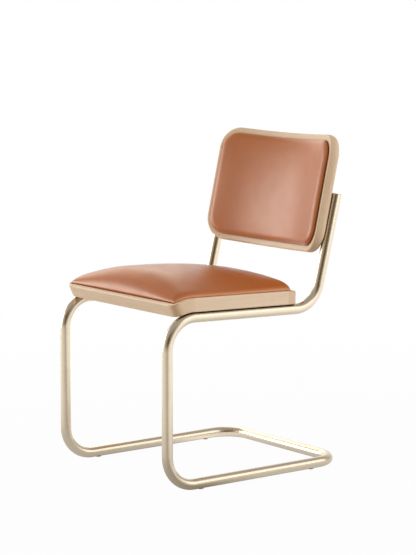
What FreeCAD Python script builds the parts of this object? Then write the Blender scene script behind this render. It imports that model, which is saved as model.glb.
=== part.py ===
import FreeCAD, Part
import math
import os
from FreeCAD import Placement, Rotation, Vector

# Cantilever dining chair in millimetres.
# A bent tube stands on the floor, climbs at the front, runs back under the seat and rises behind the sitter.
# A wooden seat frame rests on its two seat rails, and a curved wooden back frame on its two uprights.
# The chair faces -Y, +X is the sitter's left, and the floor is z = 0.

# Bent tube
tube_diameter = 26.0
tube_wall = 2.0
base_depth = 519.0
leg_height = 400.7
leg_lean = 0.64
seat_rail_length = 437.7
seat_rail_drop = 1.8
upright_length = 281.0
upright_lean = 14.5
front_bend_radius = 74.0
upright_bend_radius = 73.0
rear_bend_radius = 65.0

# Plugs and glides of the tube
plug_cap_height = 1.5
plug_cap_round = 0.8
plug_shank_length = 14.0
plug_clearance = 0.15
glide_height = 1.0
glide_diameter = 14.0
glide_wrap = 1.5
glide_edge_chamfer = 0.4
glide_pin_diameter = 6.0
glide_pin_length = 9.0
glide_bend_distance = 22.0
glide_clearance = 0.1

# Wooden seat frame
seat_width = 464.0
seat_overhang = 12.0
seat_frame_thickness = 33.0
seat_side_rail_width = 45.0
seat_rear_rail_width = 24.0
seat_border = 10.0
seat_rear_border = 8.0
seat_pocket_depth = 12.0
seat_nose_radius = 105.0
seat_nose_turn = 27.0
seat_front_corner_radius = 24.0
seat_rear_corner_radius = 5.0
seat_edge_round = 3.0
seat_bend_lead = 5.6
seat_rear_clearance = 7.0
seat_rest_gap = 0.1

# Seat panel and cushion
seat_panel_thickness = 9.0
seat_panel_clearance = 0.5
seat_cushion_clearance = 1.0
seat_cushion_corner = 4.0
seat_cushion_lip = 4.0
seat_cushion_edge_height = 26.4
seat_cushion_crown = 49.2
seat_cushion_peak_shift = 76.0
seat_cushion_rear_fall = 17.0
seat_cushion_side_roll = 46.0
seat_cushion_front_roll = 76.0
seat_cushion_rear_roll = 8.0

# Curved wooden back frame
back_overhang = 4.0
back_height = 292.6
upright_reach = 150.3
back_corner_radius = 58.0
back_curve_radius = 556.0
back_tilt = 1.2
back_depth = 26.0
back_border = 15.0
back_ledge = 15.0
back_pocket_depth = 13.0
back_edge_round = 4.0
back_rear_round = 15.0
back_groove_depth = 0.9
back_groove_clearance = 0.1

# Back panel and pads
back_panel_thickness = 5.0
back_panel_clearance = 0.5
back_pad_clearance = 1.0
back_pad_lip = 8.0
back_pad_edge_height = 21.0
back_pad_crown = 25.0
back_pad_side_roll = 12.0
back_pad_end_roll = 16.0
back_pad_fullness = 2.5
rear_pad_thickness = 5.0
rear_pad_edge_round = 2.0

# Leather of both cushions, and the upright foot of their sides
leather_thickness = 1.5
cushion_foot = 1.5

# Bolts, washers and threaded inserts between tube and wood
bolt_diameter = 6.0
bolt_hole_clearance = 0.25
bolt_head_diameter = 9.0
bolt_head_height = 4.0
bolt_socket_width = 4.0
bolt_socket_depth = 2.2
washer_diameter = 10.0
washer_thickness = 2.4
washer_clearance = 0.05
access_hole_diameter = 11.0
access_plug_depth = 4.0
access_plug_clearance = 0.1
insert_diameter = 9.0
insert_cover = 2.5
insert_clearance = 0.1
thread_clearance = 0.05
seat_bolt_end_distance = 60.0
back_bolt_end_distance = 24.0

# Screws that hold the seat panel down
screw_diameter = 4.0
screw_head_diameter = 8.0
screw_head_height = 3.0
screw_reach = 6.0
screw_inset = 10.0
screw_end_distance = 40.0
screws_per_rail = 3
screw_clearance = 0.05

# Dowels of the frame joints
seat_dowel_diameter = 8.0
seat_dowel_length = 32.0
seat_dowel_spacing = 20.0
back_dowel_diameter = 6.0
back_dowel_length = 24.0
back_dowel_front_edge = 6.5
back_dowel_rear_edge = 9.5
dowel_clearance = 0.1
dowels_per_joint = 2

# Drawing aids: reach of the cutters, how edges are told apart, and the sections of a cushion
cutter_reach = 60.0
cutter_height = 240.0
near_enough = 0.01
edge_shares = (0.25, 0.5, 0.75)
hexagon_sides = 6
pad_under = 12.0
pad_end_crown = 1.0
pad_under_steps = 4
pad_zone_steps = 4
pad_middle_steps = 4
pad_loft_degree = 2

# Sizes worked out from the above
tube_radius = tube_diameter / 2
bore_radius = tube_radius - tube_wall
runner_height = glide_height + tube_radius
half_seat = seat_width / 2
half_spacing = half_seat - seat_overhang
sides = {"left": 1, "right": -1}

# Corner points of one side of the tube, in the plane x = 0
foot_corner = Vector(0, 0, runner_height)
rear_corner = Vector(0, base_depth, runner_height)
knee_corner = foot_corner + Vector(0, leg_height * math.tan(math.radians(leg_lean)), leg_height)
seat_place = Placement(knee_corner, Rotation(Vector(1, 0, 0), -seat_rail_drop))
hip_corner = seat_place.multVec(Vector(0, seat_rail_length, 0))
upright_place = Placement(hip_corner, Rotation(Vector(1, 0, 0), -upright_lean))
upright_end = upright_place.multVec(Vector(0, 0, upright_length))


def bend_run(before, corner, after, radius):
    """Length that a bend takes from each of the two straight runs at its corner."""
    angle = (before - corner).getAngle(after - corner)
    return radius / math.tan(angle / 2)


# Straight stretch of the seat rail, measured rearward from the knee corner
rail_start = bend_run(foot_corner, knee_corner, hip_corner, front_bend_radius)
rail_end = seat_rail_length - bend_run(knee_corner, hip_corner, upright_end, upright_bend_radius)

# Seat frame places in its own frame: y rearward along the rail, z square to it, from the tube's axis
seat_bottom = tube_radius + seat_rest_gap
seat_top = seat_bottom + seat_frame_thickness
front_joint = rail_start - seat_bend_lead
seat_rear = rail_end - seat_rear_clearance
rear_joint = seat_rear - seat_rear_rail_width
nose_top_radius = seat_nose_radius + seat_frame_thickness
nose_centre_height = seat_bottom - seat_nose_radius
pocket_turn = seat_nose_turn - math.degrees(seat_border / nose_top_radius)
panel_top_depth = seat_pocket_depth - seat_panel_thickness
seat_insert_length = seat_frame_thickness - seat_pocket_depth - insert_cover

# Back frame places in its own frame: y rearward and z up from the hip corner, steeper than the upright
back_place = Placement(hip_corner, Rotation(Vector(1, 0, 0), back_tilt - upright_lean))
back_half_width = half_spacing + back_overhang
back_bottom = upright_length - upright_reach
back_top = back_bottom + back_height
back_joints = (back_bottom + back_corner_radius, back_top - back_corner_radius)
back_rear_radius = back_curve_radius + back_depth
ledge_radius = back_curve_radius + back_pocket_depth
pad_base_radius = ledge_radius - back_panel_thickness
back_half_turn = math.asin(back_half_width / back_curve_radius)

# The curve's centre stands forward of the tube so that the wood beds into its groove at the lower joint
contact_distance = back_rear_radius + tube_radius - back_groove_depth
contact_depth = back_joints[0] * math.tan(math.radians(back_tilt))
curve_centre = math.sqrt(contact_distance ** 2 - half_spacing ** 2) - contact_depth
contact_turn = math.asin(half_spacing / contact_distance)
back_wood_start = tube_radius + back_groove_clearance
back_insert_length = back_depth - back_pocket_depth - insert_cover


def placed(shape, place):
    """Copy of a shape at a placement."""
    return shape.transformed(place.toMatrix(), True)


def union(shapes):
    """One solid from overlapping ones."""
    return shapes[0].multiFuse(shapes[1:]).removeSplitter()


def line(start, end):
    return Part.LineSegment(start, end).toShape()


def arc(start, middle, end):
    return Part.Arc(start, middle, end).toShape()


def bent_path(points, radii):
    """Straight runs joined by tangent arcs at the inner points."""
    edges = []
    start = points[0]
    for before, corner, after, radius in zip(points, points[1:], points[2:], radii):
        run = bend_run(before, corner, after, radius)
        back_way = (before - corner).normalize()
        on_way = (after - corner).normalize()
        inward = (back_way + on_way).normalize()
        half_angle = back_way.getAngle(on_way) / 2
        bend_start = corner + back_way * run
        bend_end = corner + on_way * run
        bend_middle = corner + inward * (radius / math.sin(half_angle) - radius)
        edges.append(line(start, bend_start))
        edges.append(arc(bend_start, bend_middle, bend_end))
        start = bend_end
    edges.append(line(start, points[-1]))
    return Part.Wire(edges)


def rounded_outline(half_width, low, high, corner, point):
    """Closed outline with four round corners; point(u, v) gives the place of each of its points."""
    centres = [
        (half_width - corner, high - corner),
        (corner - half_width, high - corner),
        (corner - half_width, low + corner),
        (half_width - corner, low + corner),
    ]
    arcs = []
    for quarter, (u, v) in enumerate(centres):
        turns = [math.radians(90 * quarter + step) for step in (0, 45, 90)]
        arcs.append([point(u + corner * math.cos(turn), v + corner * math.sin(turn)) for turn in turns])
    edges = []
    for current, following in zip(arcs, arcs[1:] + arcs[:1]):
        edges.append(arc(*current))
        edges.append(line(current[2], following[0]))
    return Part.Wire(edges)


def hexagon_prism(width, base, height):
    """Upright hexagonal prism of a given width across flats."""
    reach = width / 2 / math.cos(math.pi / hexagon_sides)
    turns = [2 * math.pi * step / hexagon_sides for step in range(hexagon_sides + 1)]
    corners = [Vector(reach * math.cos(turn), reach * math.sin(turn), base) for turn in turns]
    return Part.Face(Part.makePolygon(corners)).extrude(Vector(0, 0, height))


def cylinder(radius, low, high, x=0.0, y=0.0):
    """Upright cylinder between two heights."""
    return Part.makeCylinder(radius, high - low, Vector(x, y, low))


def points_on(edge):
    """A few points along an edge, clear of its ends."""
    span = edge.LastParameter - edge.FirstParameter
    return [edge.valueAt(edge.FirstParameter + share * span) for share in edge_shares]


# Bolted joints between tube and wood, drawn about the tube's axis along X with the wood above
def axis_rod(radius):
    return Part.makeCylinder(radius, 2 * tube_diameter, Vector(-tube_diameter, 0, 0), Vector(1, 0, 0))


def joint_bolt(wood_start, insert_length):
    """Bolt whose head sits in the tube's bore and whose shank ends in the wood's threaded insert."""
    head_top = bore_radius - washer_thickness
    head_bottom = head_top - bolt_head_height
    head = cylinder(bolt_head_diameter / 2, head_bottom, head_top)
    shank = cylinder(bolt_diameter / 2, head_top, wood_start + insert_length)
    socket = hexagon_prism(bolt_socket_width, head_bottom, bolt_socket_depth)
    return union([head, shank]).cut(socket)


def joint_washer(wood_start, insert_length):
    """Saddle washer between the bolt's head and the round inside of the tube."""
    body = cylinder(washer_diameter / 2, bore_radius - washer_thickness, wood_start)
    return body.common(axis_rod(bore_radius - washer_clearance)).cut(bolt_hole())


def joint_insert(wood_start, insert_length):
    outer = cylinder(insert_diameter / 2, wood_start, wood_start + insert_length)
    bore = cylinder(bolt_diameter / 2 + thread_clearance, wood_start, wood_start + insert_length)
    return outer.cut(bore)


def access_plug(wood_start, insert_length):
    """Plug flush with the tube's far side, where the bolt goes in."""
    body = cylinder(access_hole_diameter / 2 - access_plug_clearance, -wood_start - tube_wall,
                    access_plug_depth - tube_radius)
    return body.common(axis_rod(tube_radius))


def insert_hole(wood_start, insert_length):
    return cylinder(insert_diameter / 2 + insert_clearance, 0, wood_start + insert_length)


def bolt_hole():
    return cylinder(bolt_diameter / 2 + bolt_hole_clearance, 0, tube_diameter)


def tube_holes():
    """Bolt hole in the wall beside the wood and access hole in the wall across from it."""
    return union([bolt_hole(), cylinder(access_hole_diameter / 2, -tube_diameter, 0)])


def seat_bolt_places():
    """Four places on the seat rails: the tube's axis along local X, the wood along local Z."""
    ends = (front_joint + seat_bolt_end_distance, rear_joint - seat_bolt_end_distance)
    along_tube = Rotation(Vector(0, 0, 1), 90)
    spots = [Vector(side * half_spacing, end, 0) for side in sides.values() for end in ends]
    return [seat_place.multiply(Placement(spot, along_tube)) for spot in spots]


def back_bolt_places():
    """Four places on the uprights, each aimed square at the back frame's curve."""
    ends = (back_joints[0] + back_bolt_end_distance, upright_length - back_bolt_end_distance)
    forward = Rotation(Vector(0, 0, 1), Vector(-1, 0, 0), Vector(0, -1, 0), "ZXY")
    places = []
    for side in sides.values():
        inward = Rotation(Vector(0, 0, 1), -side * math.degrees(contact_turn))
        for end in ends:
            spot = Placement(Vector(side * half_spacing, 0, end), inward.multiply(forward))
            places.append(upright_place.multiply(spot))
    return places


def at_joints(make, wood_start, insert_length, places):
    """The same small piece at each of a group of bolted joints."""
    return Part.makeCompound([placed(make(wood_start, insert_length), place) for place in places])


# Tube frame, its plugs and its glides
def glide_spots():
    front = bend_run(knee_corner, foot_corner, rear_corner, front_bend_radius) + glide_bend_distance
    rear = base_depth - rear_bend_radius - glide_bend_distance
    return {
        end + "_" + name: (side * half_spacing, y)
        for end, y in (("front", front), ("rear", rear))
        for name, side in sides.items()
    }


def tube_frame():
    one_side = [upright_end, hip_corner, knee_corner, foot_corner, rear_corner]
    across = Vector(half_spacing, 0, 0)
    points = [point + across for point in one_side] + [point - across for point in reversed(one_side)]
    half_radii = [upright_bend_radius, front_bend_radius, front_bend_radius, rear_bend_radius]
    path = bent_path(points, half_radii + half_radii[::-1])
    start_way = points[1] - points[0]
    rods = []
    for radius in (tube_radius, bore_radius):
        ring = Part.Wire([Part.Circle(points[0], start_way, radius).toShape()])
        rods.append(path.makePipeShell([ring], True, False))
    holes = [placed(tube_holes(), place) for place in seat_bolt_places() + back_bolt_places()]
    pin_radius = glide_pin_diameter / 2 + glide_clearance
    for x, y in glide_spots().values():
        holes.append(cylinder(pin_radius, 0, runner_height, x, y))
    tube = rods[0].cut(rods[1])
    section = math.pi * (tube_radius ** 2 - bore_radius ** 2)
    print("tube volume over section times length:", round(tube.Volume / (section * path.Length), 5))
    return tube.cut(Part.makeCompound(holes))


def end_plug(side):
    cap = cylinder(tube_radius, upright_length, upright_length + plug_cap_height)
    top_edge = [edge for edge in cap.Edges if edge.CenterOfMass.z > upright_length + plug_cap_height / 2
                and edge.Closed]
    cap = cap.makeFillet(plug_cap_round, top_edge)
    shank = cylinder(bore_radius - plug_clearance, upright_length - plug_shank_length, upright_length)
    plug = union([cap, shank])
    return placed(plug, upright_place.multiply(Placement(Vector(side * half_spacing, 0, 0), Rotation())))


def floor_glide(x, y):
    body = cylinder(glide_diameter / 2, 0, glide_height + glide_wrap, x, y)
    floor_edge = [edge for edge in body.Edges if edge.CenterOfMass.z < glide_edge_chamfer and edge.Closed]
    body = body.makeChamfer(glide_edge_chamfer, floor_edge)
    start = Vector(x, y - glide_diameter, runner_height)
    tube = Part.makeCylinder(tube_radius + glide_clearance, 2 * glide_diameter, start, Vector(0, 1, 0))
    pin = cylinder(glide_pin_diameter / 2, glide_edge_chamfer, glide_height + glide_pin_length, x, y)
    return union([body.cut(tube), pin])


# Wooden seat frame, drawn in the seat's own frame
def on_nose(turn, depth):
    """Point of the front rail's downward curve, at a turn from the joint and a depth under the top."""
    reach = nose_top_radius - depth
    angle = math.radians(turn)
    return Vector(0, front_joint - reach * math.sin(angle), nose_centre_height + reach * math.cos(angle))


def seat_layer(half_width, rear, turn, upper, lower):
    """Slab between two depths under the frame's top, flat behind and curving down over the front rail."""
    edges = []
    rear_low = Vector(0, rear, seat_top - lower)
    rear_high = Vector(0, rear, seat_top - upper)
    edges.append(line(rear_low, on_nose(0, lower)))
    edges.append(arc(on_nose(0, lower), on_nose(turn / 2, lower), on_nose(turn, lower)))
    edges.append(line(on_nose(turn, lower), on_nose(turn, upper)))
    edges.append(arc(on_nose(turn, upper), on_nose(turn / 2, upper), on_nose(0, upper)))
    edges.append(line(on_nose(0, upper), rear_high))
    edges.append(line(rear_high, rear_low))
    profile = Part.Face(Part.Wire(edges))
    profile.translate(Vector(-half_width, 0, 0))
    return profile.extrude(Vector(2 * half_width, 0, 0))


def seat_blank():
    """Outer body of the seat frame, before its pocket and opening are cut."""
    slab = seat_layer(half_seat, seat_rear, seat_nose_turn, 0, seat_frame_thickness)
    nose = on_nose(seat_nose_turn, 0)
    slant = (nose - on_nose(seat_nose_turn, seat_frame_thickness)).normalize()
    front_outline = rounded_outline(half_seat, nose.y, seat_rear + cutter_reach, seat_front_corner_radius,
                                    lambda u, v: Vector(u, v, nose.z) - slant * (cutter_height / 2))
    rear_outline = rounded_outline(half_seat, nose.y - cutter_reach, seat_rear, seat_rear_corner_radius,
                                   lambda u, v: Vector(u, v, nose.z - cutter_height / 2))
    front_prism = Part.Face(front_outline).extrude(slant * cutter_height)
    rear_prism = Part.Face(rear_outline).extrude(Vector(0, 0, cutter_height))
    blank = slab.common(front_prism).common(rear_prism)
    return blank.makeFillet(seat_edge_round, outline_edges(blank))


def top_of_seat_frame(y):
    """Height of the frame's top face at a place along the rail."""
    if y >= front_joint:
        return seat_top
    return nose_centre_height + math.sqrt(nose_top_radius ** 2 - (front_joint - y) ** 2)


def bottom_of_seat_frame(y):
    if y >= front_joint:
        return seat_bottom
    return nose_centre_height + math.sqrt(seat_nose_radius ** 2 - (front_joint - y) ** 2)


def outline_edges(blank):
    """Edges that run round the top and the bottom of the seat frame's body."""
    chosen = []
    for edge in blank.Edges:
        points = points_on(edge)
        on_top = all(abs(point.z - top_of_seat_frame(point.y)) < near_enough for point in points)
        on_bottom = all(abs(point.z - bottom_of_seat_frame(point.y)) < near_enough for point in points)
        crosswise = all(abs(point.y - front_joint) < near_enough for point in points)
        if (on_top or on_bottom) and not crosswise:
            chosen.append(edge)
    return chosen


def seat_zone(low, high, x_low=-seat_width, x_high=seat_width):
    """Box that picks one rail out of the seat frame's body."""
    return Part.makeBox(x_high - x_low, high - low, cutter_height, Vector(x_low, low, -cutter_height / 2))


def seat_screw_spots():
    first = front_joint + screw_end_distance
    last = rear_joint - screw_end_distance
    step = (last - first) / (screws_per_rail - 1)
    x = half_seat - seat_side_rail_width + screw_inset
    return [(side * x, first + step * count) for side in sides.values() for count in range(screws_per_rail)]


def seat_screw(x, y, clearance=0.0):
    """Countersunk screw up through a side rail's ledge into the panel."""
    shank_radius = screw_diameter / 2 + clearance
    head_radius = screw_head_diameter / 2 + clearance
    tip = seat_top - seat_pocket_depth + screw_reach + clearance
    head = Part.makeCone(head_radius, shank_radius, screw_head_height, Vector(x, y, seat_bottom))
    return union([head, cylinder(shank_radius, seat_bottom, tip, x, y)])


def seat_dowel_spots():
    """Middle of each dowel in the four corner joints of the seat frame, under the panel's pocket."""
    middle_x = half_seat - seat_side_rail_width / 2
    height = seat_bottom + (seat_frame_thickness - seat_pocket_depth) / 2
    spread = [(count - (dowels_per_joint - 1) / 2) * seat_dowel_spacing for count in range(dowels_per_joint)]
    return [
        Vector(side * (middle_x + offset), joint, height)
        for side in sides.values()
        for joint in (front_joint, rear_joint)
        for offset in spread
    ]


def seat_dowel(spot, clearance=0.0):
    length = seat_dowel_length + 2 * clearance
    start = spot - Vector(0, length / 2, 0)
    return Part.makeCylinder(seat_dowel_diameter / 2 + clearance, length, start, Vector(0, 1, 0))


def seat_frame_rails():
    """The four rails, cut from one body so that their faces meet at the joints."""
    inner = half_seat - seat_border
    pocket_rear = seat_rear - seat_rear_border
    pocket = seat_layer(inner, pocket_rear, pocket_turn, -cutter_reach, seat_pocket_depth)
    opening = half_seat - seat_side_rail_width
    body = seat_blank().cut(pocket).cut(seat_zone(front_joint, rear_joint, -opening, opening))
    holes = [seat_dowel(spot, dowel_clearance) for spot in seat_dowel_spots()]
    holes += [seat_screw(x, y, screw_clearance) for x, y in seat_screw_spots()]
    holes += [placed(insert_hole(seat_bottom, seat_insert_length), seat_place.inverse().multiply(place))
              for place in seat_bolt_places()]
    body = body.cut(Part.makeCompound(holes))
    zones = {
        "seat_front_rail": seat_zone(front_joint - cutter_height, front_joint),
        "seat_rear_rail": seat_zone(rear_joint, rear_joint + cutter_height),
        "seat_left_rail": seat_zone(front_joint, rear_joint, 0),
        "seat_right_rail": seat_zone(front_joint, rear_joint, -seat_width, 0),
    }
    return {name: placed(body.common(zone), seat_place) for name, zone in zones.items()}


def seat_frame_dowels():
    return placed(Part.makeCompound([seat_dowel(spot) for spot in seat_dowel_spots()]), seat_place)


def seat_panel():
    gap = seat_panel_clearance
    turn = pocket_turn - math.degrees(gap / nose_top_radius)
    panel = seat_layer(half_seat - seat_border - gap, seat_rear - seat_rear_border - gap, turn,
                       panel_top_depth, seat_pocket_depth)
    holes = [seat_screw(x, y, screw_clearance) for x, y in seat_screw_spots()]
    return placed(panel.cut(Part.makeCompound(holes)), seat_place)


def seat_panel_screws():
    return placed(Part.makeCompound([seat_screw(x, y) for x, y in seat_screw_spots()]), seat_place)


# Cushions: sections across the sitter, lofted from one end to the other
def end_stations(corner, roll):
    """Distances from an end, close together in the round corners and in the rolled edge."""
    turns = [math.radians(90 * step / pad_zone_steps) for step in range(1, pad_zone_steps + 1)]
    distances = [0.0]
    for zone_end in sorted((corner, roll)):
        zone_start = distances[-1]
        if zone_end - zone_start > near_enough:
            distances += [zone_start + (zone_end - zone_start) * (1 - math.cos(turn)) for turn in turns]
    return distances


def pad_stations(low, high, corner, low_roll, high_roll):
    """Places of a cushion's sections between its two ends."""
    first = [low + distance for distance in end_stations(corner, low_roll)]
    last = [high - distance for distance in reversed(end_stations(corner, high_roll))]
    step = (last[0] - first[-1]) / pad_middle_steps
    middle = [first[-1] + step * count for count in range(1, pad_middle_steps)]
    return first + middle + last


def corner_inset(distance, corner):
    """How far a round corner draws the side in at a distance from the end."""
    if distance >= corner:
        return 0.0
    return corner - math.sqrt(corner ** 2 - (corner - distance) ** 2)


def rolled(distance, roll):
    """Share of the full height reached at a distance from an end: a quarter round."""
    return math.sqrt(1 - (1 - min(distance / roll, 1)) ** 2)


def dome(share, fullness):
    """Part of the crown's rise at a share of the way from the middle to an end."""
    return 1 - abs(share) ** fullness


def arc_along(start, way, end):
    """Arc that leaves a point in a given direction and ends at another."""
    chord = end - start
    across = (way - chord * (way.dot(chord) / chord.dot(chord))).normalize()
    bow = chord.Length / 2 * math.tan(way.getAngle(chord) / 2)
    return arc(start, (start + end) / 2 + across * bow, end)


def side_arcs(top, top_way, foot, foot_way):
    """Two arcs that meet smoothly, from the crown's end to the foot; each way points along its arc."""
    span = foot - top
    square = 2 * (1 - top_way.dot(foot_way))
    linear = 2 * span.dot(top_way + foot_way)
    reach = (math.sqrt(linear ** 2 + 4 * square * span.dot(span)) - linear) / (2 * square)
    meeting = (top + top_way * reach + foot - foot_way * reach) / 2
    return [arc_along(top, top_way, meeting), arc_along(foot, -foot_way, meeting)]


def pad_section(half_width, side_roll, edge, crown, point):
    """Closed section of a cushion; point(x, level) gives the place of a point at a level over its base."""
    steps = [2 * half_width * count / pad_under_steps - half_width for count in range(pad_under_steps + 1)]
    under = [point(x, -pad_under) for x in steps]
    edges = [line(start, end) for start, end in zip(under, under[1:])]
    tops = [point(side * (half_width - side_roll), edge) for side in (1, -1)]
    crest = arc(tops[0], point(0, crown), tops[1])
    ways = [-crest.tangentAt(crest.FirstParameter), crest.tangentAt(crest.LastParameter)]
    flanks = []
    for side, low, top, top_way in zip((1, -1), (under[-1], under[0]), tops, ways):
        foot = point(side * half_width, cushion_foot)
        flanks.append([line(low, foot)] + side_arcs(top, top_way, foot, (low - foot).normalize())[::-1])
    edges += flanks[0] + [crest] + flanks[1][::-1]
    return Part.Wire(edges)


def seat_pad(skin):
    """Crowned cushion on the seat panel; skin is how far it stays inside the leather's outer face."""
    front = on_nose(pocket_turn, panel_top_depth).y + seat_cushion_clearance + skin
    rear = seat_rear - seat_rear_border - seat_cushion_clearance - skin
    full_width = half_seat - seat_border - seat_cushion_clearance - skin
    corner = seat_cushion_corner - skin
    peak = (front + rear) / 2 - seat_cushion_peak_shift
    lip = seat_cushion_lip - skin
    sections = []
    for y in pad_stations(front, rear, corner, seat_cushion_front_roll, seat_cushion_rear_roll):
        half_width = full_width - corner_inset(min(y - front, rear - y), corner)
        base = top_of_seat_frame(y) - panel_top_depth
        share = rolled(y - front, seat_cushion_front_roll) * rolled(rear - y, seat_cushion_rear_roll)
        fall = seat_cushion_rear_fall * max((y - peak) / (rear - peak), 0) ** 2
        edge = lip + (seat_cushion_edge_height - seat_cushion_lip) * share
        crown = lip + (seat_cushion_crown - seat_cushion_lip - fall) * share + pad_end_crown
        side_share = (edge - cushion_foot) / (seat_cushion_edge_height - cushion_foot)
        sections.append(pad_section(half_width, seat_cushion_side_roll * side_share, edge, crown,
                                    lambda x, level: Vector(x, y, base + level)))
    loft = Part.makeLoft(sections, True, False, False, pad_loft_degree)
    over_panel = seat_layer(half_seat, seat_rear, pocket_turn, -cutter_reach, panel_top_depth)
    return loft.common(over_panel)


def seat_cushion_foam():
    return placed(seat_pad(leather_thickness), seat_place)


def seat_leather_cover():
    return placed(seat_pad(0.0).cut(seat_pad(leather_thickness)), seat_place)


# Curved wooden back frame, drawn in the back's own frame
def back_cylinder(radius):
    low = back_bottom - cutter_reach
    return cylinder(radius, low, back_top + cutter_reach, 0, -curve_centre)


def back_plate(inset, front_radius, rear_radius):
    """Curved plate between two radii, drawn in by an inset, its sides square to the curve."""
    plate = back_cylinder(rear_radius).cut(back_cylinder(front_radius))
    low = back_bottom + inset
    high = back_top - inset
    far = back_rear_radius
    for side in sides.values():
        outward = Vector(side * math.cos(back_half_turn), -math.sin(back_half_turn), 0)
        rearward = Vector(side * math.sin(back_half_turn), math.cos(back_half_turn), 0)
        outline = rounded_outline(far, low, high, back_corner_radius - inset,
                                  lambda u, v: outward * (u - far - inset) + Vector(0, -curve_centre, v))
        plate = plate.common(Part.Face(outline).extrude(rearward * 2 * back_rear_radius))
    return plate


def back_rim_edges(plate, radius):
    """Edges that run round a curved plate's front or rear face."""
    chosen = []
    for edge in plate.Edges:
        reaches = [math.hypot(point.x, point.y + curve_centre) for point in points_on(edge)]
        if all(abs(reach - radius) < near_enough for reach in reaches):
            chosen.append(edge)
    return chosen


def back_zone(low, high, x_low=-2 * back_half_width, x_high=2 * back_half_width):
    """Box that picks one member out of the back frame's body."""
    depth = 2 * back_rear_radius
    return Part.makeBox(x_high - x_low, depth, high - low, Vector(x_low, -depth / 2, low))


def back_dowel_spots():
    """Middle of each dowel in the four joints of the back frame, in a row through its depth."""
    turn = back_half_turn - back_border / 2 / back_curve_radius
    first = back_curve_radius + back_dowel_front_edge
    step = (back_depth - back_dowel_front_edge - back_dowel_rear_edge) / (dowels_per_joint - 1)
    reaches = [first + step * count for count in range(dowels_per_joint)]
    return [
        Vector(side * reach * math.sin(turn), reach * math.cos(turn) - curve_centre, joint)
        for side in sides.values()
        for joint in back_joints
        for reach in reaches
    ]


def back_dowel(spot, clearance=0.0):
    half = back_dowel_length / 2 + clearance
    return cylinder(back_dowel_diameter / 2 + clearance, spot.z - half, spot.z + half, spot.x, spot.y)


def back_frame_members():
    """Two rails and two stiles, cut from one curved body so that their faces meet at the joints."""
    body = back_plate(0, back_curve_radius, back_rear_radius)
    body = body.makeFillet(back_edge_round, back_rim_edges(body, back_curve_radius))
    body = body.makeFillet(back_rear_round, back_rim_edges(body, back_rear_radius))
    body = body.cut(back_plate(back_border, back_curve_radius - cutter_reach, ledge_radius))
    body = body.cut(back_plate(back_border + back_ledge, back_curve_radius, back_rear_radius + cutter_reach))
    uprights = [cylinder(tube_radius + back_groove_clearance, 0, upright_length, side * half_spacing)
                for side in sides.values()]
    cuts = [placed(upright, back_place.inverse().multiply(upright_place)) for upright in uprights]
    cuts += [back_dowel(spot, dowel_clearance) for spot in back_dowel_spots()]
    cuts += [placed(insert_hole(back_wood_start, back_insert_length), back_place.inverse().multiply(place))
             for place in back_bolt_places()]
    for cut in cuts:
        body = body.cut(cut)
    low, high = back_joints
    zones = {
        "back_top_rail": back_zone(high, back_top + cutter_reach),
        "back_bottom_rail": back_zone(back_bottom - cutter_reach, low),
        "back_left_stile": back_zone(low, high, 0),
        "back_right_stile": back_zone(low, high, -2 * back_half_width, 0),
    }
    return {name: placed(body.common(zone), back_place) for name, zone in zones.items()}


def back_frame_dowels():
    return placed(Part.makeCompound([back_dowel(spot) for spot in back_dowel_spots()]), back_place)


def back_panel():
    return placed(back_plate(back_border + back_panel_clearance, pad_base_radius, ledge_radius), back_place)


def over_back_panel(x, level, height):
    """Point in front of the back panel: x is measured along the panel's face, level square to it."""
    turn = math.asin(x / pad_base_radius)
    reach = pad_base_radius - level
    return Vector(reach * math.sin(turn), reach * math.cos(turn) - curve_centre, height)


def back_pad(skin):
    """Crowned pad on the back panel; skin is how far it stays inside the leather's outer face."""
    inset = back_border + back_pad_clearance + skin
    low = back_bottom + inset
    high = back_top - inset
    full_width = pad_base_radius * math.sin(back_half_turn - math.asin(inset / pad_base_radius))
    corner = back_corner_radius - inset
    sections = []
    for z in pad_stations(low, high, corner, back_pad_end_roll, back_pad_end_roll):
        half_width = full_width - corner_inset(min(z - low, high - z), corner)
        share = rolled(z - low, back_pad_end_roll) * rolled(high - z, back_pad_end_roll)
        edge = back_pad_lip - skin + (back_pad_edge_height - back_pad_lip) * share
        rise = back_pad_crown - back_pad_edge_height
        crown = edge + rise * dome((2 * z - low - high) / (high - low), back_pad_fullness)
        side_share = (edge - cushion_foot) / (back_pad_edge_height - cushion_foot)
        sections.append(pad_section(half_width, back_pad_side_roll * side_share, edge, crown,
                                    lambda x, level: over_back_panel(x, level, z)))
    loft = Part.makeLoft(sections, True, False, False, pad_loft_degree)
    return loft.common(back_cylinder(pad_base_radius))


def back_pad_foam():
    return placed(back_pad(leather_thickness), back_place)


def back_front_leather():
    return placed(back_pad(0.0).cut(back_pad(leather_thickness)), back_place)


def back_rear_leather():
    """Thin covered pad that closes the frame's opening behind the panel."""
    outer = ledge_radius + rear_pad_thickness
    plate = back_plate(back_border + back_ledge + back_panel_clearance, ledge_radius, outer)
    return placed(plate.makeFillet(rear_pad_edge_round, back_rim_edges(plate, outer)), back_place)


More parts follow.
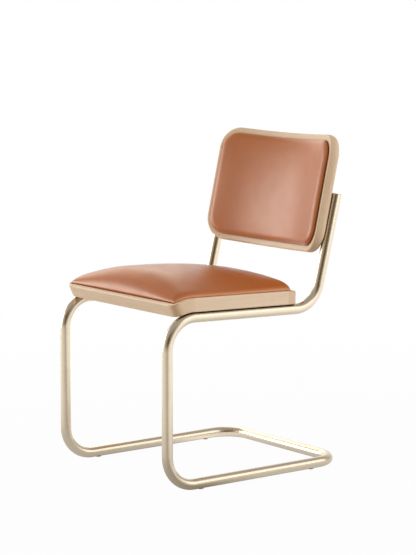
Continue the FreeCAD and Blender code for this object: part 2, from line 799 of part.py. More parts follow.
# All pieces by name
pieces = {
    "tube_frame": tube_frame(),
    "seat_frame_dowels": seat_frame_dowels(),
    "seat_panel": seat_panel(),
    "seat_panel_screws": seat_panel_screws(),
    "seat_cushion_foam": seat_cushion_foam(),
    "seat_leather_cover": seat_leather_cover(),
    "back_frame_dowels": back_frame_dowels(),
    "back_panel": back_panel(),
    "back_pad_foam": back_pad_foam(),
    "back_front_leather": back_front_leather(),
    "back_rear_leather": back_rear_leather(),
}
joint_pieces = {
    "bolts": joint_bolt,
    "saddle_washers": joint_washer,
    "threaded_inserts": joint_insert,
    "access_plugs": access_plug,
}
for name, make in joint_pieces.items():
    pieces["seat_" + name] = at_joints(make, seat_bottom, seat_insert_length, seat_bolt_places())
    pieces["back_" + name] = at_joints(make, back_wood_start, back_insert_length, back_bolt_places())
pieces.update(seat_frame_rails())
pieces.update(back_frame_members())
for name, side in sides.items():
    pieces[name + "_end_plug"] = end_plug(side)
for name, (x, y) in glide_spots().items():
    pieces[name + "_glide"] = floor_glide(x, y)

# The origin lies on the floor under the middle of the whole chair
box = Part.makeCompound(list(pieces.values())).optimalBoundingBox(False, False)
centring = Placement(Vector(-(box.XMin + box.XMax) / 2, -(box.YMin + box.YMax) / 2, 0), Rotation())
overall = [round(size, 2) for size in (box.XLength, box.YLength, box.ZLength)]
print("leg corner at y", round(centring.Base.y, 3), "overall", overall)
os.makedirs("parts", exist_ok=True)
for name, shape in sorted(pieces.items()):
    final = placed(shape, centring)
    final.exportStep("parts/" + name + ".step")
    state = "valid" if final.isValid() else "NOT VALID"
    print(name, len(final.Solids), state, round(final.Volume / 1000, 2), "cm3")
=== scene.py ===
import bmesh
import bpy
import math
from mathutils import Matrix, Vector
from mathutils.kdtree import KDTree


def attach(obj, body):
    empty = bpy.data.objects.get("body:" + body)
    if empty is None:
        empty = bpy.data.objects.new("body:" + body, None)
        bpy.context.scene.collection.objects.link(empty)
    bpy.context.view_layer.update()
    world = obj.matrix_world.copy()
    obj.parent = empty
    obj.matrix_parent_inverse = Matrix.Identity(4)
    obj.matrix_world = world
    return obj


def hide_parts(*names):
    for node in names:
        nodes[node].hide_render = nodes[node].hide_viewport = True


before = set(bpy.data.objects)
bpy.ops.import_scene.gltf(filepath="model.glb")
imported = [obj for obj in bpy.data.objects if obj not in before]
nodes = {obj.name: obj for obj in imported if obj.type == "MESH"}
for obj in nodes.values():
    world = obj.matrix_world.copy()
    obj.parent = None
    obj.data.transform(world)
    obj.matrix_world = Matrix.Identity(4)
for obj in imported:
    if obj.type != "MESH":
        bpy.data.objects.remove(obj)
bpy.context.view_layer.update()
scene = bpy.context.scene
scene.view_settings.view_transform = "Standard"

# Camera, in metres and degrees in the chair's frame, with the photograph's focal length and height in pixels
camera_place = Vector((4.1569, -3.0470, 1.1767))
camera_azimuth = 53.715
camera_elevation = 7.860
camera_roll = -0.394
camera_clip_end = 200.0
focal_pixels = 2104.3
image_height_pixels = 555
sensor_height_mm = 36.0
upwards = Vector((0, 0, 1))

# Seat cushion, in the seat's own frame: its origin at the tube's front bend, y to the rear, z up
seat_origin = (0.0, -0.274172, 0.4147)
seat_tilt = -1.8
seat_place = Matrix.Translation(seat_origin) @ Matrix.Rotation(math.radians(seat_tilt), 4, "X")
seat_half_width = 0.2225
seat_front = 0.0175
seat_rear = 0.3633
seat_middle = (seat_front + seat_rear) / 2
seat_level = 0.0461
seat_sunk = 0.003
nose_start = 0.0699
nose_radius = 0.138
seat_lip = 0.0043
seat_edge = 0.0264
seat_crown = 0.0502
seat_end_crown = seat_lip / 4
seat_peak_shift = 0.076
seat_rear_fall = 0.017
seat_side_roll = 0.046
seat_front_roll = 0.076
seat_rear_roll = 0.008
seat_corner = 0.004
seat_tuck = (0.003, 0.003)
seat_tuck_level = 0.0025

# Back cushion and rear pad, in the back's own frame: its origin at the tube's rear bend, z up the back
back_origin = (0.0, 0.163312, 0.40095)
back_tilt = -13.3
back_place = Matrix.Translation(back_origin) @ Matrix.Rotation(math.radians(back_tilt), 4, "X")
curve_centre = 0.5479
back_middle = 0.277
pad_radius = 0.564
pad_half_width = 0.2175
pad_half_height = 0.1315
pad_corner = 0.044
pad_lip = 0.0108
pad_edge = 0.021
pad_crown = 0.025
pad_roll = 0.014
pad_tuck = (0.0055, 0.0017)
pad_tuck_level = 0.0082
rear_radius = 0.569
rear_half_width = 0.2014
rear_half_height = 0.1158
rear_corner = 0.0275
rear_lip = 0.002
rear_edge = 0.005
rear_crown = 0.0065
rear_roll = 0.008
rear_tuck = (0.0006, 0.0006)
rear_tuck_level = 0.001

# Cushions' meshes: steps, the seat's side, the back pads' edge rolls and how far a base is drawn in
zone_steps = 12
middle_steps = 14
side_steps = 10
crest_steps = 14
foot_share = 0.9
handle = 0.56
tight_share = 0.6
wide_roll_factor = 3
base_draw = 1.2
divide_levels = 1

# Cushions' simulation, and how full they are
sim_frames = 20
settle_rounds = 12
cloth_quality = 6
cloth_mass = 0.3
front_pressure = 4.0
front_swell = 0.002
rear_pressure = 2.0
rear_swell = 0.001

# Painted sheen along the cushions' edges, a paler colour standing in for a highlight: its reach, and its
# strength along the sides and along the ends
edge_sheen_reach = 0.015
seat_edge_sheen = (1.0, 0.3)
back_edge_sheen = (0.15, 0.15)

# Patterns: the part of a noise's range that counts, its roughness, and painted shade where surfaces stand
# close
noise_range = (0.3, 0.7)
noise_roughness = 0.55
crevice_shade_samples = 8
crevice_shade_range = (0.15, 0.85)
crevice_shade_colour = (0.03, 0.016, 0.006)

# Wood: light and dark colours, and rings, fibres and flecks per metre along the grain and across it
rail_colours = ((0.745, 0.55, 0.38), (0.665, 0.48, 0.315))
# Seat side rails: a lighter copy of the rail wood, painted light
lit_side_colours = ((0.775, 0.58, 0.41), (0.69, 0.51, 0.345))
# Back frame: a darker copy of the same wood, painted shade
shaded_back_colours = ((0.655, 0.465, 0.30), (0.60, 0.42, 0.265))
plywood_colours = ((0.70, 0.53, 0.36), (0.58, 0.42, 0.27))
ring_pitch = (1.6, 22.0)
fibre_pitch = (14.0, 420.0)
fleck_pitch = (170.0, 900.0)
wood_detail = 3.0
ring_tones = (0.0, 0.75)
fibre_tones = (-0.15, 0.45)
fleck_range = (0.12, 0.3)
fleck_share = 0.45
fleck_shade = 0.72
# Darker end grain and painted shade: strongest on faces turned partway towards the grain, as on rounded
# corners, fading to a rest on true end grain
end_grain_and_shade_start = (0.25, 0.5)
end_grain_and_shade_fade = (0.7, 0.98)
end_grain_and_shade_rest = 0.2
end_grain_and_shade_tones = (0.88, 0.72, 0.54)
# How much of that end grain and painted shade the seat frame and the back frame get
seat_end_grain_and_shade = 0.85
back_end_grain_and_shade = 0.1
# Painted shade in the wood where another surface stands close: its depth and share
wood_crevice_shade_depth = 0.010
wood_crevice_shade_share = 0.7
wood_roughness = (0.42, 0.56)
wood_relief = 0.0002
wood_relief_strength = 0.5

# Tube
tube_colours = ((0.88, 0.765, 0.605), (0.86, 0.74, 0.575))
haze_pitch = 40.0
haze_detail = 5.0
# Painted shade on the tube where another surface stands close: its depth and share
tube_crevice_shade_depth = 0.0055
tube_crevice_shade_share = 0.92
tube_roughness = (0.21, 0.26)

# Leather: pebbles, pores and mottles per metre
leather_colours = ((0.405, 0.106, 0.016), (0.375, 0.094, 0.014))
# Paler colour of the painted sheen along the cushions' edges
edge_sheen_colour = (0.62, 0.25, 0.10)
pebble_pitch = 850.0
pore_pitch = 2600.0
pore_detail = 2.0
pore_share = 0.25
mottle_pitch = 26.0
mottle_detail = 5.0
crease_range = (0.5, 0.9)
crease_share = 0.35
crease_shade = 0.8
leather_roughness = (0.29, 0.35)
leather_gloss = 0.65
leather_gloss_tint = (1.0, 0.92, 0.8)
leather_relief = 0.00018
leather_relief_strength = 0.35

# Plastic of the plugs and glides
plug_colour = (0.58, 0.47, 0.34)
plug_roughness = 0.45
glide_colour = (0.62, 0.54, 0.43)
glide_roughness = 0.5
plastic_pitch = 1800.0
plastic_detail = 3.0
plastic_shade = 0.85
plastic_roughness_spread = 0.06
plastic_relief = 0.00006
plastic_relief_strength = 0.4

# Fasteners
steel_colour = (0.56, 0.56, 0.57)
brass_colour = (0.72, 0.55, 0.25)
mark_pitch = (700.0, 700.0, 2400.0)
mark_detail = 3.0
mark_shade = 0.8
fastener_roughness = (0.28, 0.42)
fastener_relief = 0.00004
fastener_relief_strength = 0.4

# Studio: brightness by degrees from +X towards +Y, in gloss, as soft light and in the floor's gloss
studio_ring = [
    (-180, 1.0), (-165, 1.0), (-140, 0.9), (-125, 0.8), (-110, 0.65), (-95, 0.5), (-70, 0.28), (-50, 0.08),
    (-30, 0.06), (-18, 0.18), (-6, 0.34), (3, 0.4), (92, 0.5), (115, 0.7), (132, 0.9), (152, 1.0), (168, 1.1),
    (180, 1.0)]
diffuse_ring = [
    (-180, 2.2), (-150, 2.8), (-110, 2.1), (-80, 1.4), (-45, 0.4), (-15, 0.65), (10, 1.9), (40, 2.9),
    (90, 2.3), (130, 1.8), (180, 2.2)]
floor_ring = [
    (-180, 1.05), (-142, 0.95), (-111, 0.9), (-86, 0.86), (-62, 0.75), (-38, 0.5), (-19, 0.92), (3, 1.15),
    (92, 1.15), (120, 1.3), (144, 1.9), (165, 1.3), (180, 1.05)]
full_turn = 360

# Dim stretches of a ring are warmer: powers of their level in green and in blue
dim_green = 0.13
dim_blue = 0.35

# Overhead: the band of elevations, in degrees, over which the ring gives way to it, and its levels
overhead_band = (22.0, 46.0)
overhead_level = 0.38
overhead_fill = 0.5

# Floor: its half width, its own look, and its glow by distance from the chair's middle in metres, dimmer in
# gloss near the chair as a painted shadow
floor_half = 60.0
floor_level = 0.4
floor_roughness = 0.9
floor_gloss = 0.8
floor_gloss_painted_shadow = 0.6
floor_gloss_shadow_reach = (0.3, 1.2)
floor_white_near = 0.97
floor_white_reach = (0.7, 2.5)

# Softboxes: place and size in metres, power in watts
softbox_target = Vector((0.0, 0.0, 0.45))
softboxes = {
    "left": {"place": (-2.1, -1.48, 0.77), "size": (1.75, 1.15), "power": 25.0, "colour": (1.0, 1.0, 1.0)},
    "rear": {"place": (-2.26, 0.65, 1.7), "size": (1.94, 1.33), "power": 9.5, "colour": (1.0, 0.93, 0.74)},
    "right": {"place": (2.4, 1.8, 1.5), "size": (3.0, 2.2), "power": 19.5, "colour": (1.0, 1.0, 1.0)},
}

# Sockets of a mix node that belong to colours
mix_factor = 0
mix_first = 6
mix_second = 7
mix_result = 2

axis_index = {"x": 0, "y": 1, "z": 2}


# Node helpers
def new_material(name):
    """Material with its node tree and its shader."""
    material = bpy.data.materials.new(name)
    material.use_nodes = True
    tree = material.node_tree
    return material, tree, tree.nodes["Principled BSDF"]


def feed(tree, socket, value):
    """Links a socket's value, or sets it where it is a number or a colour."""
    if isinstance(value, bpy.types.NodeSocket):
        tree.links.new(value, socket)
    else:
        socket.default_value = value


def add(tree, kind, inputs=None, **settings):
    """Node of a kind with its settings and inputs."""
    node = tree.nodes.new(kind)
    for name, value in settings.items():
        setattr(node, name, value)
    for name, value in (inputs or {}).items():
        feed(tree, node.inputs[name], value)
    return node


def place_of(tree, pitch):
    """Place on the object, in metres times a pitch along each axis."""
    place = add(tree, "ShaderNodeTexCoord").outputs["Object"]
    return add(tree, "ShaderNodeMapping", {"Vector": place, "Scale": pitch}).outputs["Vector"]


def noise(tree, pitch, detail):
    """Noise with a pitch along each axis."""
    inputs = {"Vector": place_of(tree, pitch), "Scale": 1.0, "Detail": detail, "Roughness": noise_roughness}
    return add(tree, "ShaderNodeTexNoise", inputs).outputs["Fac"]


def cells(tree, pitch, **settings):
    """Distance from the middle of the nearest cell of a pattern with a pitch along each axis."""
    inputs = {"Vector": place_of(tree, pitch), "Scale": 1.0}
    return add(tree, "ShaderNodeTexVoronoi", inputs, **settings).outputs["Distance"]


def every_way(pitch):
    """The same pitch along each axis."""
    return (pitch, pitch, pitch)


def spread(tree, value, low, high, out_low=0.0, out_high=1.0):
    """Maps a range of values to another."""
    inputs = {"Value": value, "From Min": low, "From Max": high, "To Min": out_low, "To Max": out_high}
    return add(tree, "ShaderNodeMapRange", inputs).outputs["Result"]


def math_node(tree, operation, *values):
    """Result of an operation on one or two values."""
    return add(tree, "ShaderNodeMath", dict(enumerate(values)), operation=operation).outputs["Value"]


def mix_colour(tree, factor, first, second):
    """Colour between two others."""
    inputs = {mix_factor: factor, mix_first: first, mix_second: second}
    return add(tree, "ShaderNodeMix", inputs, data_type="RGBA").outputs[mix_result]


def bump(tree, shader, height, distance, strength):
    """Relief of a surface; distance is its depth in metres."""
    made = add(tree, "ShaderNodeBump", {"Height": height, "Distance": distance, "Strength": strength})
    tree.links.new(made.outputs["Normal"], shader.inputs["Normal"])


def rgb(red, green, blue):
    """Opaque colour."""
    return (red, green, blue, 1.0)


def grey(level):
    """Opaque grey."""
    return rgb(level, level, level)


def shaded(colour, shade):
    """Opaque colour darkened to a share."""
    return rgb(*[channel * shade for channel in colour])


def paint_crevice_shade(tree, colour, depth, share):
    """Paints shade into a colour where another surface stands close."""
    near = add(tree, "ShaderNodeAmbientOcclusion", {"Distance": depth}, samples=crevice_shade_samples).outputs["AO"]
    return mix_colour(tree, spread(tree, near, *crevice_shade_range, share, 0.0), colour, rgb(*crevice_shade_colour))


# Materials
def along_grain(axis, pitch):
    """Pitch of a pattern that is stretched along the grain."""
    along, across = pitch
    scale = list(every_way(across))
    scale[axis_index[axis]] = along
    return scale


def wood(name, axis, colours, end_share):
    """Pale close-grained wood: faint rings, fine fibres, short flecks, darker end grain with painted shade on
    faces turned partway to the grain, and painted shade in crevices.
    """
    light, dark = colours
    material, tree, shader = new_material(name)
    rings = noise(tree, along_grain(axis, ring_pitch), wood_detail)
    fibres = noise(tree, along_grain(axis, fibre_pitch), wood_detail)
    ring_tone = spread(tree, rings, *noise_range, *ring_tones)
    fibre_tone = spread(tree, fibres, *noise_range, *fibre_tones)
    colour = mix_colour(tree, math_node(tree, "ADD", ring_tone, fibre_tone), rgb(*light), rgb(*dark))
    flecks = spread(tree, cells(tree, along_grain(axis, fleck_pitch)), *fleck_range, fleck_share, 0.0)
    colour = mix_colour(tree, flecks, colour, shaded(dark, fleck_shade))
    # Darker end grain and painted shade, by how far the surface faces along the grain
    normal = add(tree, "ShaderNodeNewGeometry").outputs["Normal"]
    facing = add(tree, "ShaderNodeSeparateXYZ", {"Vector": normal}).outputs[axis_index[axis]]
    facing = math_node(tree, "ABSOLUTE", facing)
    end_shade_start = spread(tree, facing, *end_grain_and_shade_start, 0.0, end_share)
    end_shade_fade = spread(tree, facing, *end_grain_and_shade_fade, 1.0, end_grain_and_shade_rest)
    end_shade_colour = [channel * shade for channel, shade in zip(dark, end_grain_and_shade_tones)]
    colour = mix_colour(tree, math_node(tree, "MULTIPLY", end_shade_start, end_shade_fade), colour, rgb(*end_shade_colour))
    # Painted shade where another part stands close
    colour = paint_crevice_shade(tree, colour, wood_crevice_shade_depth, wood_crevice_shade_share)
    tree.links.new(colour, shader.inputs["Base Color"])
    tree.links.new(spread(tree, fibres, *noise_range, *wood_roughness), shader.inputs["Roughness"])
    bump(tree, shader, fibres, wood_relief, wood_relief_strength)
    return material


def champagne_metal():
    """Satin plated tube with a fine brushed haze and painted shade where other parts stand close."""
    light, dark = tube_colours
    material, tree, shader = new_material("champagne_tube")
    haze = noise(tree, every_way(haze_pitch), haze_detail)
    colour = mix_colour(tree, spread(tree, haze, *noise_range), rgb(*light), rgb(*dark))
    # Painted shade where another part stands close
    colour = paint_crevice_shade(tree, colour, tube_crevice_shade_depth, tube_crevice_shade_share)
    tree.links.new(colour, shader.inputs["Base Color"])
    shader.inputs["Metallic"].default_value = 1.0
    tree.links.new(spread(tree, haze, *noise_range, *tube_roughness), shader.inputs["Roughness"])
    return material


def leather():
    """Tan leather with a pebbled grain, soft mottling, a low sheen and a painted sheen: a paler colour along
    its edges.
    """
    light, dark = leather_colours
    material, tree, shader = new_material("tan_leather")
    pebbles = cells(tree, every_way(pebble_pitch), feature="SMOOTH_F1")
    pores = noise(tree, every_way(pore_pitch), pore_detail)
    mottle = noise(tree, every_way(mottle_pitch), mottle_detail)
    colour = mix_colour(tree, spread(tree, mottle, *noise_range), rgb(*light), rgb(*dark))
    creases = spread(tree, pebbles, *crease_range, 0.0, crease_share)
    colour = mix_colour(tree, creases, colour, shaded(dark, crease_shade))
    # Painted sheen: a paler colour along the pads' edges, standing in for a highlight
    edge_sheen = add(tree, "ShaderNodeAttribute", attribute_name="edge_sheen").outputs["Fac"]
    colour = mix_colour(tree, edge_sheen, colour, rgb(*edge_sheen_colour))
    tree.links.new(colour, shader.inputs["Base Color"])
    tree.links.new(spread(tree, mottle, *noise_range, *leather_roughness), shader.inputs["Roughness"])
    shader.inputs["Specular IOR Level"].default_value = leather_gloss
    shader.inputs["Specular Tint"].default_value = rgb(*leather_gloss_tint)
    height = math_node(tree, "SUBTRACT", math_node(tree, "MULTIPLY", pores, pore_share), pebbles)
    bump(tree, shader, height, leather_relief, leather_relief_strength)
    return material


def plastic(name, colour, roughness):
    """Moulded plastic with a fine spark-eroded texture."""
    material, tree, shader = new_material(name)
    grain = noise(tree, every_way(plastic_pitch), plastic_detail)
    darker = shaded(colour, plastic_shade)
    tree.links.new(mix_colour(tree, grain, rgb(*colour), darker), shader.inputs["Base Color"])
    roughness_range = (roughness - plastic_roughness_spread, roughness + plastic_roughness_spread)
    tree.links.new(spread(tree, grain, *noise_range, *roughness_range), shader.inputs["Roughness"])
    bump(tree, shader, grain, plastic_relief, plastic_relief_strength)
    return material


def turned_metal(name, colour):
    """Plated or turned fastener metal."""
    material, tree, shader = new_material(name)
    marks = noise(tree, mark_pitch, mark_detail)
    darker = shaded(colour, mark_shade)
    tree.links.new(mix_colour(tree, marks, rgb(*colour), darker), shader.inputs["Base Color"])
    shader.inputs["Metallic"].default_value = 1.0
    tree.links.new(spread(tree, marks, *noise_range, *fastener_roughness), shader.inputs["Roughness"])
    bump(tree, shader, marks, fastener_relief, fastener_relief_strength)
    return material


def dress(material, *names):
    """Gives a material to CAD nodes."""
    for name in names:
        mesh = nodes[name].data
        mesh.materials.clear()
        mesh.materials.append(material)


# Soft pieces
def applied(piece):
    """Turns a piece's modifiers into its mesh."""
    graph = bpy.context.evaluated_depsgraph_get()
    made = bpy.data.meshes.new_from_object(piece.evaluated_get(graph))
    piece.modifiers.clear()
    old = piece.data
    piece.data = made
    bpy.data.meshes.remove(old)


def stations(low, high, low_zone, high_zone):
    """Places from one end to the other, close together towards both ends."""
    shares = [1 - math.cos(math.pi / 2 * step / zone_steps) for step in range(zone_steps + 1)]
    first = [low + low_zone * share for share in shares]
    last = [high - high_zone * share for share in reversed(shares)]
    step = (last[0] - first[-1]) / middle_steps
    return first + [first[-1] + step * count for count in range(1, middle_steps)] + last


def rolled(distance, roll):
    """Share of the full height reached at a distance from an edge: a quarter round."""
    return math.sqrt(1 - (1 - min(max(distance / roll, 0), 1)) ** 2)


def corner_inset(distance, corner):
    """How far a round corner draws the side in at a distance from the end."""
    return corner * (1 - rolled(distance, corner))


def seat_section(half_width, side_roll, edge, crown):
    """Half of a section across the seat, from the crown to the foot, as pairs of x and level."""
    reach = half_width - side_roll
    rise = crown - edge
    radius = (reach ** 2 + rise ** 2) / (2 * rise)
    turn = math.asin(reach / radius)
    points = []
    for step in range(crest_steps):
        angle = turn * step / crest_steps
        points.append((radius * math.sin(angle), crown - radius * (1 - math.cos(angle))))
    top = Vector((reach, edge))
    low = Vector((half_width, seat_lip * foot_share))
    top_handle = top + Vector((math.cos(turn), -math.sin(turn))) * side_roll * handle
    low_handle = low + Vector((0, edge - seat_lip * foot_share)) * handle
    for step in range(side_steps + 1):
        share = step / side_steps
        rest = 1 - share
        place = (top * rest ** 3 + top_handle * 3 * rest ** 2 * share + low_handle * 3 * rest * share ** 2
                 + low * share ** 3)
        points.append(tuple(place))
    return points


def seat_point(x, along, level):
    """Place of a point at a level over the seat panel; along is measured rearward from the seat's middle."""
    y = seat_middle + along
    nose = max(nose_start - y, 0)
    base = seat_level - seat_sunk - nose_radius + math.sqrt(nose_radius ** 2 - nose ** 2)
    return seat_place @ Vector((x, y, base + level))


def seat_rows():
    """Rows of points on the seat cushion: across, along and over the panel."""
    peak = seat_middle - seat_peak_shift
    rows = []
    for y in stations(seat_front, seat_rear, seat_front_roll, seat_rear_roll):
        share = rolled(y - seat_front, seat_front_roll) * rolled(seat_rear - y, seat_rear_roll)
        fall = seat_rear_fall * max((y - peak) / (seat_rear - peak), 0) ** 2
        edge = seat_lip + (seat_edge - seat_lip) * share
        crown = seat_lip + (seat_crown - seat_lip - fall) * share + seat_end_crown
        side_roll = seat_side_roll * (edge - seat_lip * foot_share) / (seat_edge - seat_lip * foot_share)
        half_width = seat_half_width - corner_inset(min(y - seat_front, seat_rear - y), seat_corner)
        half = seat_section(half_width, side_roll, edge, crown)
        section = [(-x, level) for x, level in reversed(half)] + half[1:]
        rows.append([(x, y - seat_middle, level) for x, level in section])
    return rows


def to_outline(x, z, half_width, half_height, corner):
    """Distance inwards from the outline of a rectangle with round corners."""
    over_x = abs(x) - half_width + corner
    over_z = abs(z) - half_height + corner
    outside = math.hypot(max(over_x, 0), max(over_z, 0))
    return corner - outside - min(max(over_x, over_z), 0)


def back_rows(size, heights):
    """Rows of points on a pad of the back: across, up and over its base."""
    half_width, half_height, corner = size
    lip, edge, crown, roll = heights
    rows = []
    for z in stations(-half_height, half_height, corner, corner):
        width = half_width - corner_inset(half_height - abs(z), corner)
        zone = min(corner, width / 2)
        row = []
        for x in stations(-width, width, zone, zone):
            inwards = to_outline(x, z, half_width, half_height, corner)
            tight = rolled(inwards, roll)
            wide = rolled(inwards, wide_roll_factor * roll)
            share = tight_share * tight + (1 - tight_share) * wide
            dome = (1 - (x / half_width) ** 2) * (1 - (z / half_height) ** 2)
            row.append((x, z, lip + (edge - lip) * share + (crown - edge) * dome * share))
        rows.append(row)
    return rows


def on_curve(x, z, reach, radius):
    """Place at a reach from the back's axis of curvature; x is measured at a radius."""
    turn = math.asin(x / radius)
    across = reach * math.sin(turn)
    depth = reach * math.cos(turn) - curve_centre
    return back_place @ Vector((across, depth, back_middle + z))


def front_point(x, z, level):
    """Place of a point at a level in front of the back panel."""
    return on_curve(x, z, pad_radius - level, pad_radius)


def rear_point(x, z, level):
    """Place of a point at a level behind the back panel."""
    return on_curve(x, z, rear_radius + level, rear_radius)


def rim_of(rows, columns):
    """Numbers of the points round the outside of a grid."""
    first = list(range(columns))
    right = [row * columns + columns - 1 for row in range(1, rows)]
    last = [(rows - 1) * columns + column for column in range(columns - 2, -1, -1)]
    left = [row * columns for row in range(rows - 2, 0, -1)]
    return first + right + last + left


def pad_faces(rows, columns, rim):
    """Quads of a pad's upper face and base, and of its edge, which is turned in between them."""
    count = rows * columns
    faces = []
    for row in range(rows - 1):
        for column in range(columns - 1):
            start = row * columns + column
            quad = (start, start + 1, start + columns + 1, start + columns)
            faces.append(quad)
            faces.append(tuple(count + index for index in reversed(quad)))
    for step, first in enumerate(rim):
        following = (step + 1) % len(rim)
        second = rim[following]
        turned = (2 * count + step, 2 * count + following)
        faces.append((second, first, turned[0], turned[1]))
        faces.append((turned[1], turned[0], count + first, count + second))
    return faces


def paint_edge_sheen(mesh, grid, rim, sheen_shares):
    """Writes how much painted sheen a pad's upper face gets, from nothing inside to a share along its sides
    and its ends.
    """
    side_share, end_share = sheen_shares
    points = [vertex.co.copy() for vertex in mesh.vertices]
    edge = KDTree(len(rim))
    for index in rim:
        edge.insert(points[index], index)
    edge.balance()
    edge_sheen = mesh.attributes.new("edge_sheen", "FLOAT", "POINT")
    half_width = max(place[0] for place in grid)
    for index in range(len(grid)):
        nearest, distance = edge.find(points[index])[1:]
        beside = max(1 - (half_width - abs(grid[nearest][0])) / edge_sheen_reach, 0)
        share = end_share + (side_share - end_share) * beside
        edge_sheen.data[index].value = share * max(1 - distance / edge_sheen_reach, 0) ** 2


def pad(name, rows, point, tuck, tuck_level, sheen_shares):
    """Closed mesh of a pad: its upper face with painted sheen along its edge, its edge turned in below, and
    its flat base.
    """
    columns = len(rows[0])
    grid = [place for row in rows for place in row]
    rim = rim_of(len(rows), columns)
    shrink = [1 - inset / max(place[axis] for place in grid) for axis, inset in enumerate(tuck)]
    base_shrink = [share ** base_draw for share in shrink]
    points = [point(*place) for place in grid]
    points += [point(x * base_shrink[0], along * base_shrink[1], 0) for x, along, level in grid]
    points += [point(grid[index][0] * shrink[0], grid[index][1] * shrink[1], tuck_level) for index in rim]
    mesh = bpy.data.meshes.new(name)
    mesh.from_pydata(points, [], pad_faces(len(rows), columns, rim))
    paint_edge_sheen(mesh, grid, rim, sheen_shares)
    shape = bmesh.new()
    shape.from_mesh(mesh)
    bmesh.ops.recalc_face_normals(shape, faces=shape.faces)
    shape.to_mesh(mesh)
    shape.free()
    piece = bpy.data.objects.new(name, mesh)
    scene.collection.objects.link(piece)
    return piece


def blow_up(piece, rows, columns, pressure, cap):
    """Swells a pad by cloth simulation, evens out how far its points move and caps it."""
    start = [vertex.co.copy() for vertex in piece.data.vertices]
    count = rows * columns
    rim = set(rim_of(rows, columns))
    held = piece.vertex_groups.new(name="held")
    held.add(sorted(rim) + list(range(count, len(start))), 1.0, "ADD")
    cloth = piece.modifiers.new("cloth", "CLOTH")
    settings = cloth.settings
    settings.quality = cloth_quality
    settings.mass = cloth_mass
    settings.vertex_group_mass = "held"
    settings.use_pressure = True
    settings.uniform_pressure_force = pressure
    settings.effector_weights.gravity = 0.0
    cloth.point_cache.frame_end = sim_frames
    for number in range(1, sim_frames + 1):
        scene.frame_set(number)
    applied(piece)
    moves = [vertex.co - place for vertex, place in zip(piece.data.vertices, start)]
    for _ in range(settle_rounds):
        evened = list(moves)
        for index in range(count):
            if index not in rim:
                around = (index - 1, index + 1, index - columns, index + columns)
                total = moves[index] + sum((moves[near] for near in around), Vector())
                evened[index] = total / (len(around) + 1)
        moves = evened
    longest = max(move.length for move in moves)
    for vertex, place, move in zip(piece.data.vertices, start, moves):
        vertex.co = place + move * min(cap / max(longest, cap), 1.0)
    piece.vertex_groups.clear()
    scene.frame_set(1)


def cushion(piece, rows, pressure, cap):
    """Gives a pad its simulated swell, smooths it all over and sets it on the chair."""
    blow_up(piece, len(rows), len(rows[0]), pressure, cap)
    for face in piece.data.polygons:
        face.use_smooth = True
    divide = piece.modifiers.new("divide", "SUBSURF")
    divide.levels = divide_levels
    divide.render_levels = divide_levels
    applied(piece)
    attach(piece, "root")


# Stage
def look_along(place, back):
    """Matrix of a camera or lamp that looks away from back, upright."""
    back = back.normalized()
    right = upwards.cross(back).normalized()
    turned = Matrix((right, back.cross(right), back)).transposed()
    return Matrix.Translation(place) @ turned.to_4x4()


def add_camera():
    """Camera at the photograph's place."""
    data = bpy.data.cameras.new("camera")
    data.sensor_fit = "VERTICAL"
    data.sensor_height = sensor_height_mm
    data.lens = focal_pixels * sensor_height_mm / image_height_pixels
    data.clip_end = camera_clip_end
    camera = bpy.data.objects.new("camera", data)
    scene.collection.objects.link(camera)
    azimuth = math.radians(camera_azimuth)
    elevation = math.radians(camera_elevation)
    level_reach = math.cos(elevation)
    back = Vector((math.sin(azimuth) * level_reach, -math.cos(azimuth) * level_reach, math.sin(elevation)))
    roll = Matrix.Rotation(math.radians(camera_roll), 4, "Z")
    camera.matrix_world = look_along(camera_place, back) @ roll
    scene.camera = camera


def brightness_round(tree, place, ring):
    """Brightness by the direction of a place round the vertical axis."""
    axes = add(tree, "ShaderNodeSeparateXYZ", {"Vector": place}).outputs
    turn = math_node(tree, "ARCTAN2", axes["Y"], axes["X"])
    ramp = add(tree, "ShaderNodeValToRGB", {"Fac": spread(tree, turn, -math.pi, math.pi)})
    stops = ramp.color_ramp.elements
    for degrees, level in ring[1:-1]:
        stops.new((degrees + full_turn / 2) / full_turn)
    for stop, (degrees, level) in zip(stops, ring):
        dim = min(level, 1.0)
        stop.color = rgb(level, level * dim ** dim_green, level * dim ** dim_blue)
    return ramp.outputs["Color"]


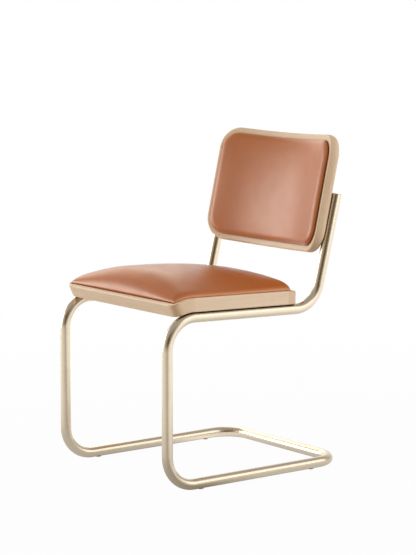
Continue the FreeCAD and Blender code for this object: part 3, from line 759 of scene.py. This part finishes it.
def add_floor():
    """Pale floor: white to the camera with a faint shadow near the chair, and a bright ring in gloss, dimmed
    near the chair as a painted shadow.
    """
    mesh = bpy.data.meshes.new("floor")
    corners = [(x * floor_half, y * floor_half, 0) for x, y in ((-1, -1), (1, -1), (1, 1), (-1, 1))]
    mesh.from_pydata(corners, [], [range(len(corners))])
    floor = bpy.data.objects.new("floor", mesh)
    scene.collection.objects.link(floor)
    material, tree, shader = new_material("floor")
    shader.inputs["Base Color"].default_value = grey(floor_level)
    shader.inputs["Roughness"].default_value = floor_roughness
    path = add(tree, "ShaderNodeLightPath").outputs
    place = add(tree, "ShaderNodeTexCoord").outputs["Object"]
    reach = add(tree, "ShaderNodeVectorMath", {0: place}, operation="LENGTH").outputs["Value"]
    white_share = spread(tree, reach, *floor_white_reach, floor_white_near, 1.0)
    camera_share = math_node(tree, "MULTIPLY", path["Is Camera Ray"], white_share)
    gloss_share = math_node(tree, "MULTIPLY", path["Is Glossy Ray"], floor_gloss)
    share = math_node(tree, "ADD", camera_share, gloss_share)
    colour = mix_colour(tree, path["Is Glossy Ray"], grey(1.0), brightness_round(tree, place, floor_ring))
    # Painted shadow: the floor's glow in gloss is dimmer near the chair
    near = spread(tree, reach, *floor_gloss_shadow_reach, floor_gloss_painted_shadow, 1.0)
    strength = spread(tree, path["Is Glossy Ray"], 0.0, 1.0, 1.0, near)
    glow = add(tree, "ShaderNodeEmission", {"Color": colour, "Strength": strength})
    mixed = add(tree, "ShaderNodeMixShader", {0: share, 1: shader.outputs[0], 2: glow.outputs[0]})
    tree.links.new(mixed.outputs[0], tree.nodes["Material Output"].inputs["Surface"])
    mesh.materials.append(material)


def add_world():
    """Studio round the chair: one ring in gloss, one as soft light, grey overhead, white to the camera."""
    world = bpy.data.worlds.new("studio")
    scene.world = world
    world.use_nodes = True
    tree = world.node_tree
    path = add(tree, "ShaderNodeLightPath").outputs
    direction = add(tree, "ShaderNodeTexCoord").outputs["Generated"]
    height = add(tree, "ShaderNodeSeparateXYZ", {"Vector": direction}).outputs["Z"]
    above = spread(tree, height, *[math.sin(math.radians(degrees)) for degrees in overhead_band])
    shown = mix_colour(tree, above, brightness_round(tree, direction, studio_ring), grey(overhead_level))
    fill = mix_colour(tree, above, brightness_round(tree, direction, diffuse_ring), grey(overhead_fill))
    surround = tree.nodes["Background"]
    tree.links.new(mix_colour(tree, path["Is Glossy Ray"], fill, shown), surround.inputs["Color"])
    surround.inputs["Strength"].default_value = 1.0
    white = add(tree, "ShaderNodeBackground", {"Color": grey(1.0), "Strength": 1.0})
    seen = math_node(tree, "MAXIMUM", path["Is Camera Ray"], path["Is Transmission Ray"])
    mixed = add(tree, "ShaderNodeMixShader", {0: seen, 1: surround.outputs[0], 2: white.outputs[0]})
    tree.links.new(mixed.outputs[0], tree.nodes["World Output"].inputs["Surface"])


def add_softbox(name, place, size, power, colour):
    """Rectangular lamp that points at the middle of the chair."""
    data = bpy.data.lights.new(name, "AREA")
    data.shape = "RECTANGLE"
    data.size, data.size_y = size
    data.energy = power
    data.color = colour
    lamp = bpy.data.objects.new(name, data)
    scene.collection.objects.link(lamp)
    lamp.matrix_world = look_along(Vector(place), Vector(place) - softbox_target)


add_camera()
add_floor()
add_world()
for name, settings in softboxes.items():
    add_softbox(name, **settings)

# Looks of the solids
dress(wood("wood_along_y", "y", lit_side_colours, seat_end_grain_and_shade), "seat_left_rail", "seat_right_rail")
dress(wood("wood_along_x", "x", rail_colours, seat_end_grain_and_shade), "seat_front_rail", "seat_rear_rail")
dress(wood("back_rail_wood", "x", shaded_back_colours, back_end_grain_and_shade), "back_top_rail", "back_bottom_rail")
dress(wood("wood_along_z", "z", shaded_back_colours, back_end_grain_and_shade), "back_left_stile", "back_right_stile")
dress(wood("dowel_wood", "y", rail_colours, seat_end_grain_and_shade), "seat_frame_dowels")
dress(wood("plywood", "x", plywood_colours, seat_end_grain_and_shade), "seat_panel", "back_panel", "back_frame_dowels")
dress(champagne_metal(), "tube_frame")
dress(plastic("plug_plastic", plug_colour, plug_roughness),
      "left_end_plug", "right_end_plug", "seat_access_plugs", "back_access_plugs")
dress(plastic("glide_nylon", glide_colour, glide_roughness),
      "front_left_glide", "front_right_glide", "rear_left_glide", "rear_right_glide")
dress(turned_metal("fastener_steel", steel_colour),
      "seat_panel_screws", "seat_bolts", "back_bolts", "seat_saddle_washers", "back_saddle_washers")
dress(turned_metal("insert_brass", brass_colour), "seat_threaded_inserts", "back_threaded_inserts")

# Seat cushion
rows = seat_rows()
seat = pad("seat_cushion", rows, seat_point, seat_tuck, seat_tuck_level, seat_edge_sheen)
cushion(seat, rows, front_pressure, front_swell)
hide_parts("seat_cushion_foam", "seat_leather_cover")

# Back cushion
pad_size = (pad_half_width, pad_half_height, pad_corner)
rows = back_rows(pad_size, (pad_lip, pad_edge, pad_crown, pad_roll))
back = pad("back_cushion", rows, front_point, pad_tuck, pad_tuck_level, back_edge_sheen)
cushion(back, rows, front_pressure, front_swell)
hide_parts("back_pad_foam", "back_front_leather")

# Rear pad
rear_size = (rear_half_width, rear_half_height, rear_corner)
rows = back_rows(rear_size, (rear_lip, rear_edge, rear_crown, rear_roll))
rear = pad("rear_pad", rows, rear_point, rear_tuck, rear_tuck_level, back_edge_sheen)
cushion(rear, rows, rear_pressure, rear_swell)
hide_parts("back_rear_leather")

tan_leather = leather()
for piece in (seat, back, rear):
    piece.data.materials.clear()
    piece.data.materials.append(tan_leather)
